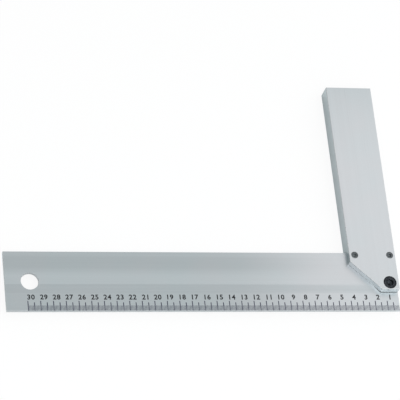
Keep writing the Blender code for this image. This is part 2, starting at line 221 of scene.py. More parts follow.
class HandleSizes(bpy.types.PropertyGroup):
    """Sizes of the slotted handle."""

    mitre: length_property("Mitre", "Size of the cut inner corner", 0.0241)
    edge: length_property("Edge", "Radius of the outer edges", 0.0004)
    side_wall: length_property("Side wall", "Thickness of the walls beside the hollow", 0.004)
    slot_room: length_property("Slot room", "Clearance above the blade in its slot", 0.0008)
    slot_gap: length_property("Slot gap", "Clearance between the blade's face and the front cheek", 0.0001)
    head_gap: length_property("Head gap", "Clearance round the screws' heads", 0.0001)
    rim: length_property("Rim", "Width of the broken rims of the holes", 0.00018)
    plug_round: length_property("Plug edge", "Radius of the plug's edges", 0.0005)
    plug_pan: length_property("Plug pan", "Depth of the shallow pan in the plug's face", 0.0004)
    plug_border: length_property("Plug border", "Width of the border round the plug's pan", 0.0008)


class FastenerSizes(bpy.types.PropertyGroup):
    """Sizes of the screws, inserts, eccentric and ring."""

    screw_shank: length_property("Screw shank", "Radius of the screw's shank", 0.0015)
    screw_head: length_property("Screw head", "Height of the screw's head", 0.0026)
    thread_pitch: length_property("Thread pitch", "Distance between two turns of the thread", 0.0005)
    thread_depth: length_property("Thread depth", "Depth of the thread", 0.00022)
    screw_key: length_property("Screw key", "Width across the screw's hexagon socket", 0.0025)
    screw_socket: length_property("Screw socket", "Depth of the screw's socket", 0.0014)
    insert_body: length_property("Insert body", "Radius of the insert's body", 0.0023)
    insert_flange: length_property("Insert flange", "Thickness of the insert's flange", 0.0008)
    head: length_property("Eccentric head", "Height of the eccentric's head", 0.0034)
    journal: length_property("Journal", "Radius of the eccentric's journal", 0.0037)
    cam: length_property("Cam", "Radius of the cam", 0.003)
    cam_offset: length_property("Cam offset", "How far the cam sits off the axis", 0.00045)
    shaft: length_property("Shaft", "Radius of the eccentric's shaft", 0.002)
    groove: length_property("Groove", "Depth of the groove for the ring", 0.0007)
    key: length_property("Eccentric key", "Width across the eccentric's hexagon socket", 0.005)
    socket: length_property("Eccentric socket", "Depth of the eccentric's socket", 0.002)
    ring_mouth: length_property("Ring mouth", "Width of the ring's opening", 0.0018)
    chamfer: length_property("Chamfer", "Width of the chamfers on heads and flanges", 0.0003)
    knurl: length_property("Knurl", "Depth of the grooves round the heads", 0.00008)


class FinishColours(bpy.types.PropertyGroup):
    """Colours of the finishes."""

    aluminium: colour_property("Aluminium", "Satin anodised aluminium", (0.605, 0.635, 0.655))
    # Painted shade: a darker, cooler aluminium for the handle's side faces, standing in for the shade on them
    drawn_side: colour_property("Drawn side", "The handle's duller drawn sides", (0.462, 0.517, 0.535))
    worn_aluminium: colour_property("Worn edge", "Aluminium where the edges are rubbed", (0.70, 0.72, 0.73))
    dark_steel: colour_property("Dark steel", "Darkened steel of the two screws", (0.120, 0.132, 0.138))
    worn_steel: colour_property("Worn steel", "Steel at the screws' rubbed edges", (0.42, 0.44, 0.45))
    black: colour_property("Black steel", "Black oxide on the eccentric", (0.030, 0.033, 0.038))
    worn_black: colour_property("Worn black", "Steel at the eccentric's rubbed edges", (0.15, 0.155, 0.165))
    zinc: colour_property("Zinc", "Zinc plated steel", (0.55, 0.55, 0.53))
    bronze: colour_property("Bronze", "Plain bearing bronze", (0.55, 0.38, 0.18))
    plastic: colour_property("Plastic", "Moulded grey plastic", (0.18, 0.19, 0.20))
    tick_ink: colour_property("Tick ink", "Ink of the ticks", (0.014, 0.015, 0.052))
    number_ink: colour_property("Number ink", "Ink of the numbers", (0.006, 0.006, 0.008))


class StageSettings(bpy.types.PropertyGroup):
    """The floor, the light and the camera."""

    floor_size: length_property("Floor", "Side of the square floor", 12.0)
    floor_drop: length_property("Floor drop", "How far the floor lies below the square", 0.00002)
    floor_tone: share_property("Floor tone", "Reflectance of the floor", 0.94)
    floor_lift: share_property("Floor lift", "What the floor adds to be white in the open", 0.13)
    floor_white: share_property("Floor white", "Share of plain white that the camera sees there", 0.87)
    sky: share_property("Sky", "Strength of the surroundings", 0.965)
    heel_box: glow_property("Heel softbox", "Brightness of the softbox beside the heel", (0.33, 0.27, 0.27))
    heel_box_place: place_property("Heel softbox place", "Middle of the heel softbox", (0.265, 0.10, 0.25))
    heel_box_size: place_property("Heel softbox size", "Its width and depth", (0.245, 0.26, 0))
    front_box: glow_property("Front softbox", "Brightness of the softbox over the front", (1.55, 1.53, 1.53))
    front_box_place: place_property("Front softbox place", "Middle of the front softbox", (0.05, -0.5, 0.9))
    front_box_size: place_property("Front softbox size", "Its width and depth", (1.1, 0.5, 0))
    lens: FloatProperty(
        name="Lens", description="Focal length in millimetres", default=223.0, min=1, unit="CAMERA"
    )
    camera_place: place_property("Camera", "Where the camera stands", (-0.4839, -0.8514, 1.7222))
    camera_aim: way_property("Aim", "The way the camera looks", (0.2471, 0.4299, -0.8684))
    camera_up: way_property("Up", "The way up in the picture", (-0.0099, 0.8973, 0.4414))


# Shapes


def deselect():
    """Leave edit mode and select nothing."""
    if bpy.context.mode != "OBJECT":
        bpy.ops.object.mode_set(mode="OBJECT")
    bpy.ops.object.select_all(action="DESELECT")


def hold(piece):
    """Make a piece the only selected and the active object."""
    deselect()
    piece.select_set(True)
    bpy.context.view_layer.objects.active = piece
    return piece


def settle(name):
    """Name the new active object and move its place into its mesh."""
    piece = hold(bpy.context.object)
    piece.name = name
    piece.data.name = name
    bpy.ops.object.transform_apply(location=True, rotation=True, scale=True)
    return piece


def new_box(name, low, high):
    """Return a box between two corners."""
    deselect()
    bpy.ops.mesh.primitive_cube_add(size=1, location=(low + high) / 2, scale=high - low)
    return settle(name)


def new_round(name, radius, bottom, top, axis, sides, top_radius=None):
    """Return an upright cylinder or cone between two levels on an axis."""
    deselect()
    bpy.ops.mesh.primitive_cone_add(
        vertices=sides,
        radius1=radius,
        radius2=radius if top_radius is None else top_radius,
        depth=top - bottom,
        location=(axis.x, axis.y, (bottom + top) / 2),
    )
    return settle(name)


@contextlib.contextmanager
def editing(piece):
    """Open a piece in edit mode."""
    hold(piece)
    bpy.ops.object.mode_set(mode="EDIT")
    yield
    bpy.ops.object.mode_set(mode="OBJECT")


def pick(piece, kind, test):
    """Select what passes a test in edit mode: VERT, EDGE or FACE."""
    bpy.ops.mesh.select_mode(type=kind)
    bpy.ops.mesh.select_all(action="DESELECT")
    shape = bmesh.from_edit_mesh(piece.data)
    shape.normal_update()
    for item in {"VERT": shape.verts, "EDGE": shape.edges, "FACE": shape.faces}[kind]:
        if test(item):
            item.select_set(True)
    bmesh.update_edit_mesh(piece.data)


def near(first, second):
    """Tell whether two lengths are the same."""
    return abs(first - second) < NEAR


def reach(corner, axis):
    """Return a corner's distance from an upright axis."""
    return math.hypot(corner.co.x - axis.x, corner.co.y - axis.y)


def is_corner(edge):
    """Tell whether an edge is a real corner of the solid."""
    return edge.calc_face_angle(0) > CORNER_ANGLE


def break_edges(width, steps=3):
    """Round the selected edges and give them the worn finish."""
    bpy.ops.mesh.bevel(offset=width, segments=steps, affect="EDGES", material=WORN)


def weld(piece, distance):
    """Merge the corners that lie closer together than a distance."""
    with editing(piece):
        bpy.ops.mesh.select_all(action="SELECT")
        bpy.ops.mesh.remove_doubles(threshold=distance)


def cut(piece, tool, operation="DIFFERENCE"):
    """Cut a piece with a tool, or join the two, and take the tool away."""
    hold(piece)
    change = piece.modifiers.new("cut", "BOOLEAN")
    change.operation = operation
    change.solver = "EXACT"
    change.object = tool
    bpy.ops.object.modifier_apply(modifier=change.name)
    bpy.data.objects.remove(tool, do_unlink=True)
    weld(piece, WELD)


def break_rim(piece, axis, radius, width, level=None):
    """Break the rim of a round hole, at one level or wherever it meets a face."""

    def on_rim(edge):
        first, second = edge.verts
        if any(abs(reach(corner, axis) - radius) > ROUND_NEAR for corner in (first, second)):
            return False
        if abs(first.co.z - second.co.z) > edge.calc_length() / 2:
            return False
        return level is None or near(first.co.z, level)

    with editing(piece):
        pick(piece, "EDGE", on_rim)
        break_edges(width, 2)


def even_shading(piece):
    """Shade round faces smooth and keep flat faces flat up to their edges."""
    weld(piece, NEAR)
    bpy.ops.object.shade_smooth_by_angle(angle=SMOOTH_ANGLE)
    change = piece.modifiers.new("even", "WEIGHTED_NORMAL")
    change.keep_sharp = True
    bpy.ops.object.modifier_apply(modifier=change.name)


def wear(piece, *materials):
    """Give a piece its materials: the main one, then the worn one and the one painted darker as shade where it
    has them.
    """
    piece.data.materials.clear()
    for material in materials:
        piece.data.materials.append(material)


def deliver(piece, body, slot, *nodes):
    """Hang a finished piece on its body, evenly shaded where it stands for packed parts."""
    if nodes:
        even_shading(piece)
    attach(piece, body)
    if nodes:
        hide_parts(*nodes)


def grow(axis, steps, start):
    """Draw the selected end face out through steps of radius and level."""
    radius, level = start
    for next_radius, next_level in steps:
        move = {"value": (0, 0, next_level - level)}
        bpy.ops.mesh.extrude_region_move(TRANSFORM_OT_translate=move)
        share = next_radius / radius
        centre = (axis.x, axis.y, next_level)
        bpy.ops.transform.resize(value=(share, share, 1), center_override=centre)
        radius, level = next_radius, next_level


def turned(name, axis, radius, bottom, top, sides, below=(), above=()):
    """Return a turned piece: a cylinder, drawn out downwards and upwards in steps."""
    piece = new_round(name, radius, bottom, top, axis, sides)
    with editing(piece):
        for level, steps in ((bottom, below), (top, above)):
            pick(piece, "FACE", lambda face, z=level: all(near(corner.co.z, z) for corner in face.verts))
            grow(axis, steps, (radius, level))
    return piece


def knurl(piece, axis, radius, sides, depth):
    """Press grooves into the side of a head."""

    def every_second(corner):
        if not near(reach(corner, axis), radius):
            return False
        turn = math.atan2(corner.co.y - axis.y, corner.co.x - axis.x)
        return round(turn / math.tau * sides) % 2 == 0

    share = 1 - depth / radius
    with editing(piece):
        pick(piece, "VERT", every_second)
        bpy.ops.transform.resize(value=(share, share, 1), center_override=(axis.x, axis.y, 0))


def finish_faces(piece, place, test):
    """Give the faces that pass a test another of the piece's materials."""
    with editing(piece):
        pick(piece, "FACE", test)
        piece.active_material_index = place
        bpy.ops.object.material_slot_assign()


def rub_rim(piece, axis, radius):
    """Give the worn finish to the slanted faces round the top of a head."""

    def on_rim(face):
        slanted = SLANT_LEAST < face.normal.z < SLANT_MOST
        return slanted and face.calc_center_median().z > MIDDLE_Z and reach(face.verts[0], axis) > radius

    finish_faces(piece, WORN, on_rim)


def sink_hexagon(piece, axis, width, top, depth, chamfer):
    """Sink a hexagon socket with a chamfered mouth and a drilled point."""
    radius = width / 2 / math.cos(math.pi / HEX_SIDES)
    bottom = top - depth
    point = [(radius * TIP_SHARE, bottom - radius * POINT_SHARE)]
    cut(piece, turned("hexagon", axis, radius, bottom, top + OVERRUN, HEX_SIDES, below=point))
    rise = chamfer * 3 / 2
    root = radius - chamfer
    cut(piece, new_round("mouth", root, top - rise, top, axis, SMALL_SIDES, root + rise))


# Finishes


def add_node(tree, kind, links, **settings):
    """Add a shader node, set its options and feed its sockets with values or other nodes' outputs."""
    node = tree.nodes.new(kind)
    for name, value in settings.items():
        setattr(node, name, value)
    for name, value in links.items():
        if isinstance(value, bpy.types.NodeSocket):
            tree.links.new(value, node.inputs[name])
        else:
            node.inputs[name].default_value = value
    return node


def ramp(tree, value, stops):
    """Return a colour that follows a value through the stops."""
    node = add_node(tree, "ShaderNodeValToRGB", {"Fac": value})
    marks = node.color_ramp.elements
    while len(marks) < len(stops):
        marks.new(0.5)
    for mark, (place, colour) in zip(marks, stops):
        mark.position = place
        mark.color = (*colour, 1)
    return node.outputs["Color"]


def grey_ramp(tree, value, stops):
    """Return a value that follows another one through the stops."""
    return ramp(tree, value, [(spot, (share, share, share)) for spot, share in stops])


def shift(tree, value, low, high, to_low, to_high):
    """Return a value moved from one range to another, and held within it."""
    links = {"Value": value, "From Min": low, "From Max": high, "To Min": to_low, "To Max": to_high}
    return add_node(tree, "ShaderNodeMapRange", links).outputs["Result"]


def combined(tree, operation, first, second):
    """Return two values combined by a mathematical operation."""
    return add_node(tree, "ShaderNodeMath", {0: first, 1: second}, operation=operation).outputs[0]


def times(tree, first, second):
    """Return the product of two values."""
    return combined(tree, "MULTIPLY", first, second)


def tinted(tree, colour, value):
    """Return a colour made stronger or weaker by a value."""
    return add_node(tree, "ShaderNodeVectorMath", {0: colour, "Scale": value}, operation="SCALE").outputs[0]


def placed(tree, centre=(0, 0, 0), stretch=(1, 1, 1)):
    """Return the piece's own coordinates, centred and stretched."""
    where = add_node(tree, "ShaderNodeTexCoord", {})
    move = [-place * scale for place, scale in zip(centre, stretch)]
    links = {"Vector": where.outputs["Object"], "Location": move, "Scale": stretch}
    return add_node(tree, "ShaderNodeMapping", links).outputs["Vector"]


def grain(tree, vector, scale, detail=3.0, roughness=0.5):
    """Return a noise value."""
    links = {"Vector": vector, "Scale": scale, "Detail": detail, "Roughness": roughness}
    return add_node(tree, "ShaderNodeTexNoise", links).outputs["Fac"]


def bump(tree, shader, height, depth, strength=1.0, under=None):
    """Give a shader a relief of a real depth, over another one if there is one."""
    links = {"Height": height, "Distance": depth, "Strength": strength}
    if under is not None:
        links["Normal"] = under
    relief = add_node(tree, "ShaderNodeBump", links).outputs["Normal"]
    tree.links.new(relief, shader.inputs["Normal"])
    return relief


def new_finish(name, metallic, specular=0.5):
    """Return a new material with its node tree and shader."""
    material = bpy.data.materials.new(name)
    material.use_nodes = True
    shader = material.node_tree.nodes["Principled BSDF"]
    shader.inputs["Metallic"].default_value = metallic
    shader.inputs["Specular IOR Level"].default_value = specular
    return material, material.node_tree, shader


def anodised_finish(name, colour, along, shading_bands=None):
    """Satin anodised aluminium with the fine lines of its extrusion along one axis."""
    material, tree, shader = new_finish(name, 1.0)
    fine_way, broad_way = (
        placed(tree, stretch=(run, across, across) if along == "X" else (across, run, across))
        for run, across in (FINE_LINES, BROAD_LINES)
    )
    lines = grain(tree, fine_way, scale=1.0, detail=4.0, roughness=0.6)
    broad = grain(tree, broad_way, scale=1.0, detail=2.0)
    cloud = grain(tree, placed(tree), scale=28.0, detail=2.0)
    speck = grain(tree, placed(tree), scale=5200.0, detail=2.0)
    cool = [share * part for share, part in zip((0.985, 1.0, 1.0), colour)]
    warm = [share * part for share, part in zip((1.012, 1.0, 1.0), colour)]
    base = ramp(tree, cloud, [(0.35, cool), (0.65, warm)])
    broad_tone = shift(tree, broad, 0.3, 0.7, 0.992, 1.007)
    tone = times(tree, broad_tone, shift(tree, lines, 0.3, 0.7, 0.975, 1.02))
    # Painted shade bands, on the pieces that have them
    if shading_bands is not None:
        tone = times(tree, tone, shading_bands(tree))
    tree.links.new(tinted(tree, base, tone), shader.inputs["Base Color"])
    rough = shift(tree, lines, 0.25, 0.75, 0.27, 0.37)
    tree.links.new(rough, shader.inputs["Roughness"])
    under = bump(tree, shader, lines, depth=0.000004)
    bump(tree, shader, speck, depth=0.000002, under=under)
    return material


def blade_bands(tree):
    """Painted shade in long bands along the blade, fading out toward the heel."""
    place = add_node(tree, "ShaderNodeSeparateXYZ", {"Vector": placed(tree)})
    across = shift(tree, place.outputs["Y"], BLADE_LOW.y, BLADE_HIGH.y, 0.0, 1.0)
    # Each stop is a share of the blade's width and how much darker the painted shade is there
    scale_side = [(0.0, 0.08), (0.298, 0.08), (0.31, 0.11), (0.44, 0.11)]
    main_side = [(0.45, 0.0), (0.60, 0.0), (0.73, 0.125), (0.90, 0.125), (0.94, 0.07)]
    depth = grey_ramp(tree, across, scale_side + main_side)
    fade = shift(tree, place.outputs["X"], SHADE_BANDS_FADE, SHADE_BANDS_END, 1.0, 0.0)
    return combined(tree, "SUBTRACT", 1.0, times(tree, depth, fade))


def patchy_finish(name, metallic, tones, patches, skin, rough, depth, specular=0.5):
    """A surface of two tones in patches, with a skin that gives its roughness and its relief.

    Patches and skin are given as the scale, the detail and, where it matters, the roughness of a grain.
    Where there is no skin, the patches serve as one.
    """
    material, tree, shader = new_finish(name, metallic, specular)
    cloud = grain(tree, placed(tree), *patches)
    fine = cloud if skin is None else grain(tree, placed(tree), *skin)
    tree.links.new(ramp(tree, cloud, tones), shader.inputs["Base Color"])
    tree.links.new(shift(tree, fine, 0.3, 0.7, *rough), shader.inputs["Roughness"])
    bump(tree, shader, fine, depth)
    return material


def rubbed_finish(name, colour):
    """Metal that is rubbed bright along an edge."""
    tones = [(0.4, [part * 0.86 for part in colour]), (0.6, colour)]
    grains = {"patches": (900.0, 3.0), "skin": None}
    return patchy_finish(name, 1.0, tones, **grains, rough=(0.36, 0.22), depth=0.000004)


def turned_finish(name, colour, axis, lift=1.15):
    """Metal with the fine rings of the lathe round an axis, in patches that are brighter by the lift."""
    material, tree, shader = new_finish(name, 1.0)
    centred = placed(tree, (axis.x, axis.y, 0))
    rings = 9000.0
    links = {"Vector": centred, "Scale": rings / math.tau, "Distortion": 0.4, "Detail": 2.0}
    wave = add_node(tree, "ShaderNodeTexWave", links, wave_type="RINGS", rings_direction="Z").outputs["Fac"]
    cloud = grain(tree, centred, scale=700.0, detail=3.0)
    speck = grain(tree, centred, scale=4000.0, detail=2.0)
    light = [min(1.0, part * lift) for part in colour]
    tree.links.new(ramp(tree, cloud, [(0.38, colour), (0.72, light)]), shader.inputs["Base Color"])
    tree.links.new(shift(tree, cloud, 0.3, 0.7, 0.26, 0.42), shader.inputs["Roughness"])
    under = bump(tree, shader, wave, depth=0.000006, strength=0.6)
    bump(tree, shader, speck, depth=0.000004, strength=0.7, under=under)
    return material


def plastic_finish(name, colour):
    """Moulded plastic with a fine spark-eroded grain."""
    tones = [(0.35, colour), (0.7, [part * 1.25 for part in colour])]
    grains = {"patches": (160.0, 2.0), "skin": (2600.0, 3.0, 0.6)}
    return patchy_finish(name, 0.0, tones, **grains, rough=(0.48, 0.62), depth=0.00003)


def ink_finish(name, colour, fade):
    """Printed ink, slightly rubbed."""
    tones = [(0.5, colour), (0.78, [part + fade for part in colour])]
    grains = {"patches": (340.0, 3.0), "skin": (5000.0, 2.0)}
    return patchy_finish(name, 0.0, tones, **grains, rough=(0.5, 0.68), depth=0.000006, specular=0.4)


# Operators, one for each piece or group of like pieces


class SQUARE_OT_blade(bpy.types.Operator):
    """Model the extruded ruler blade with its sunk scale face and its holes"""

    bl_idname = "square.blade"
    bl_label = "Ruler blade"
    bl_options = {"REGISTER", "UNDO"}

    def execute(self, context):
        """Model the blade."""
        scene = context.scene
        sizes = scene.square_blade
        colours = scene.square_colours
        scale_end = BLADE_LOW.y + sizes.scale_width
        lip_foot = scale_end + sizes.lip_width
        slope_top = lip_foot + sizes.slope_width
        crown_shares = ((0.25, 0.5), (0.55, 1.0), (0.8, 0.6))
        crown_lines = [(slope_top + share * (BLADE_HIGH.y - slope_top), dip) for share, dip in crown_shares]
        lines = [scale_end, lip_foot, slope_top, *(line for line, _ in crown_lines)]

        blade = new_box("ruler_blade", BLADE_LOW, BLADE_HIGH)
        wear(
            blade,
            # The blade's aluminium carries painted shade bands
            anodised_finish("anodised_blade", colours.aluminium, "X", blade_bands),
            rubbed_finish("rubbed_blade_edge", colours.worn_aluminium),
        )
        with editing(blade):
            for line in lines:
                bpy.ops.mesh.select_all(action="SELECT")
                bpy.ops.mesh.bisect(plane_co=(0, line, 0), plane_no=(0, 1, 0))
            self.lower(blade, lambda y: y < scale_end + NEAR, sizes.scale_drop)
            self.lower(blade, lambda y: near(y, lip_foot), sizes.scale_drop + sizes.lip_drop)
            for line, dip in crown_lines:
                self.lower(blade, lambda y, line=line: near(y, line), sizes.crown * dip)
            pick(blade, "EDGE", is_corner)
            break_edges(sizes.edge)
        hang_hole = Vector((BLADE_LOW.x + sizes.hang_hole_inset, (BLADE_LOW.y + BLADE_HIGH.y) / 2, 0))
        rounds = [(hang_hole, sizes.hang_hole / 2), (PIVOT, BUSH_RADIUS + GAP), (CLAMP, sizes.clamp_hole / 2)]
        cam_room = scene.square_fasteners.cam + GAP
        run = Vector((0, sizes.cam_slot_room, 0))
        rounds += [(TURNER + run, cam_room), (TURNER - run, cam_room)]
        below = BLADE_LOW.z - OVERRUN
        above = BLADE_HIGH.z + OVERRUN
        for place, radius in rounds:
            cut(blade, new_round("drill", radius, below, above, place, FINE_SIDES))
        side = Vector((cam_room, 0, MIDDLE_Z))
        cut(blade, new_box("slot", TURNER - run - side, TURNER + run + side))
        break_rim(blade, hang_hole, sizes.hang_hole / 2, sizes.edge)
        deliver(blade, "blade", "anodised_aluminium", "blade")
        return {"FINISHED"}

    def lower(self, blade, chosen, depth):
        """Lower the corners of the upper face that lie on the chosen lines."""
        middle = (BLADE_LOW.z + BLADE_HIGH.z) / 2
        pick(blade, "VERT", lambda corner: corner.co.z > middle and chosen(corner.co.y))
        bpy.ops.transform.translate(value=(0, 0, -depth))


class SQUARE_OT_scale_ticks(bpy.types.Operator):
    """Print the millimetre, five millimetre and centimetre ticks along the blade's edge"""

    bl_idname = "square.scale_ticks"
    bl_label = "Scale ticks"
    bl_options = {"REGISTER", "UNDO"}

    def execute(self, context):
        """Model each kind of tick once and copy it along the scale."""
        scene = context.scene
        sizes = scene.square_scale
        face = BLADE_HIGH.z - scene.square_blade.scale_drop
        ink = ink_finish("tick_ink", scene.square_colours.tick_ink, 0.02)
        kinds = {}
        for kind, width, length in (
            (10, sizes.bold, sizes.long),
            (5, sizes.bold, sizes.middle),
            (1, sizes.thin, sizes.short),
        ):
            low = Vector((BLADE_HIGH.x - width / 2, BLADE_LOW.y + sizes.foot, face - sizes.ink * SUNK_SHARE))
            kinds[kind] = new_box("tick", low, low + Vector((width, length, sizes.ink * (1 + SUNK_SHARE))))
        copies = []
        for count in range(1, sizes.ticks + 1):
            kind = next(step for step in kinds if count % step == 0)
            tick = kinds[kind].copy()
            tick.data = kinds[kind].data.copy()
            tick.data.transform(Matrix.Translation((-count * sizes.pitch, 0, 0)))
            scene.collection.objects.link(tick)
            copies.append(tick)
        for tick in kinds.values():
            bpy.data.objects.remove(tick, do_unlink=True)
        ticks = join_pieces("scale_ticks", copies)
        wear(ticks, ink)
        deliver(ticks, "blade", "black_steel")
        return {"FINISHED"}


class SQUARE_OT_scale_numbers(bpy.types.Operator):
    """Print the plain centimetre numbers beside the ticks"""

    bl_idname = "square.scale_numbers"
    bl_label = "Scale numbers"
    bl_options = {"REGISTER", "UNDO"}

    def execute(self, context):
        """Model the numbers from text."""
        scene = context.scene
        sizes = scene.square_scale
        face = BLADE_HIGH.z - scene.square_blade.scale_drop
        centimetre = sizes.pitch * 10
        numbers = []
        for count in range(1, sizes.ticks // 10 + 1):
            number = self.number(str(count), sizes)
            middle = BLADE_HIGH.x - count * centimetre + sizes.number_shift
            number.location = (middle, BLADE_LOW.y + sizes.number_foot, face - sizes.ink * SUNK_SHARE)
            numbers.append(settle("number"))
        print_out = join_pieces("scale_numbers", numbers)
        wear(print_out, ink_finish("number_ink", scene.square_colours.number_ink, 0.01))
        deliver(print_out, "blade", "black_steel")
        return {"FINISHED"}

    def number(self, words, sizes):
        """Return one number as a solid print, at its height and with its foot at the origin."""
        half_ink = sizes.ink * (1 + SUNK_SHARE) / 2
        deselect()
        bpy.ops.object.text_add()
        number = bpy.context.object
        number.data.body = words
        number.data.align_x = "CENTER"
        number.data.size = sizes.number_height / CAPITAL_SHARE
        number.data.space_character = LETTER_SPACE
        number.data.offset = sizes.number_weight
        number.data.extrude = half_ink
        number.data.resolution_u = LETTER_STEPS
        bpy.ops.object.convert(target="MESH")
        number = bpy.context.object
        weld(number, LETTER_NEAR)
        with editing(number):
            bpy.ops.mesh.select_all(action="SELECT")
            bpy.ops.mesh.normals_make_consistent(inside=False)
        widths = [corner.co.x for corner in number.data.vertices]
        heights = [corner.co.y for corner in number.data.vertices]
        share = sizes.number_height / (max(heights) - min(heights))
        middle = (min(widths) + max(widths)) / 2
        number.data.transform(Matrix.Translation((-middle, -min(heights), half_ink)))
        number.data.transform(Matrix.Diagonal((share, share, 1, 1)))
        return number


def join_pieces(name, pieces):
    """Join pieces into one."""
    deselect()
    for piece in pieces:
        piece.select_set(True)
    bpy.context.view_layer.objects.active = pieces[0]
    bpy.ops.object.join()
    return settle(name)


class SQUARE_OT_handle(bpy.types.Operator):
    """Model the handle extrusion with its mitre, blade slot, hollow and stepped holes"""

    bl_idname = "square.handle"
    bl_label = "Slotted handle"
    bl_options = {"REGISTER", "UNDO"}

    def execute(self, context):
        """Model the handle."""
        scene = context.scene
        sizes = scene.square_handle
        colours = scene.square_colours
        handle = new_box("slotted_handle", HANDLE_LOW, HANDLE_HIGH)
        wear(
            handle,
            anodised_finish("anodised_handle", colours.aluminium, "Y"),
            rubbed_finish("rubbed_handle_edge", colours.worn_aluminium),
            # Painted shade: the handle's sides get a darker copy of the aluminium
            anodised_finish("handle_side_painted_shade", colours.drawn_side, "Y"),
        )
        with editing(handle):
            bpy.ops.mesh.select_all(action="SELECT")
            bpy.ops.mesh.bisect(
                plane_co=(HANDLE_LOW.x + sizes.mitre, HANDLE_LOW.y, 0),
                plane_no=(-1, -1, 0),
                use_fill=True,
                clear_outer=True,
            )
            pick(handle, "EDGE", lambda edge: edge.calc_face_angle(0) > SMOOTH_ANGLE)
            break_edges(sizes.edge)
        for tool in self.hollow(sizes):
            cut(handle, tool)
        self.stepped_holes(handle, scene)
        # Painted shade: the faces square to X get the darker side aluminium
        finish_faces(handle, SHADED_SIDE, lambda face: abs(face.normal.x) > SQUARE_ON)
        deliver(handle, "handle", "anodised_aluminium", "handle_body")
        return {"FINISHED"}

    def hollow(self, sizes):
        """Return the cutters of the blade slot and of the hollow above it."""
        past = Vector((OVERRUN, OVERRUN, 0))
        slot_back = BLADE_LOW.z - GAP
        slot_front = BLADE_HIGH.z + sizes.slot_gap
        slot_end = BLADE_HIGH.y + sizes.slot_room
        slot_low = Vector((HANDLE_LOW.x, HANDLE_LOW.y, slot_back)) - past
        slot_high = Vector((HANDLE_HIGH.x + OVERRUN, slot_end, slot_front))
        hollow_low = Vector((HANDLE_LOW.x + sizes.side_wall, slot_end - OVERRUN, slot_back))
        hollow_high = Vector((HANDLE_HIGH.x - sizes.side_wall, HANDLE_HIGH.y + OVERRUN, BLADE_HIGH.z + GAP))
        return new_box("slot", slot_low, slot_high), new_box("hollow", hollow_low, hollow_high)

    def stepped_holes(self, handle, scene):
        """Cut the holes for the screws, their inserts and the eccentric, and break their outer rims."""
        parts = scene.square_fasteners
        rim = scene.square_handle.rim
        above = HANDLE_HIGH.z + OVERRUN
        below = HANDLE_LOW.z - OVERRUN
        screw_head = HEAD_RADIUS + scene.square_handle.head_gap
        flange = FLANGE_RADIUS + GAP
        eccentric_head = ECCENTRIC_RADIUS + GAP
        ring = RING_RADIUS + GAP
        screw_seat = WASHER_LOW.z - GAP
        insert_seat = INSERT_LOW.z + parts.insert_flange + GAP
        eccentric_seat = ECCENTRIC_HIGH.z - parts.head - GAP
        screw_steps = [
            (screw_head, screw_seat, above),
            (parts.screw_shank + GAP, MIDDLE_Z, above),
            (parts.insert_body + GAP, below, MIDDLE_Z),
            (flange, below, insert_seat),
        ]
        eccentric_steps = [
            (eccentric_head, eccentric_seat, above),
            (parts.journal + GAP, MIDDLE_Z, above),
            (parts.shaft + GAP, below, MIDDLE_Z),
            (ring, below, RING_HIGH.z + GAP),
        ]
        for place, steps in ((PIVOT, screw_steps), (CLAMP, screw_steps), (TURNER, eccentric_steps)):
            for radius, bottom, top in steps:
                sides = FINE_SIDES if radius == eccentric_head else ROUND_SIDES
                cut(handle, new_round("drill", radius, bottom, top, place, sides))
        for place, front, back in (
            (PIVOT, screw_head, flange),
            (CLAMP, screw_head, flange),
            (TURNER, eccentric_head, ring),
        ):
            break_rim(handle, place, front, rim, HANDLE_HIGH.z)
            break_rim(handle, place, back, rim, HANDLE_LOW.z)


class SQUARE_OT_plug(bpy.types.Operator):
    """Model the moulded plug that closes the hollow at the top of the handle"""

    bl_idname = "square.plug"
    bl_label = "Hollow plug"
    bl_options = {"REGISTER", "UNDO"}

    def execute(self, context):
        """Model the plug with a shallow pan in its outer face."""
        scene = context.scene
        sizes = scene.square_handle
        plug = new_box("hollow_plug", PLUG_LOW, PLUG_HIGH)
        with editing(plug):
            pick(plug, "EDGE", is_corner)
            bpy.ops.mesh.bevel(offset=sizes.plug_round, segments=3, affect="EDGES")
            pick(plug, "FACE", lambda face: all(near(corner.co.y, PLUG_HIGH.y) for corner in face.verts))
            bpy.ops.mesh.inset(thickness=sizes.plug_border, depth=0)
            bpy.ops.mesh.inset(thickness=sizes.plug_pan / 2, depth=-sizes.plug_pan)
        wear(plug, plastic_finish("grey_plastic_plug", scene.square_colours.plastic))
        deliver(plug, "handle", "grey_plastic", "end_plug")
        return {"FINISHED"}


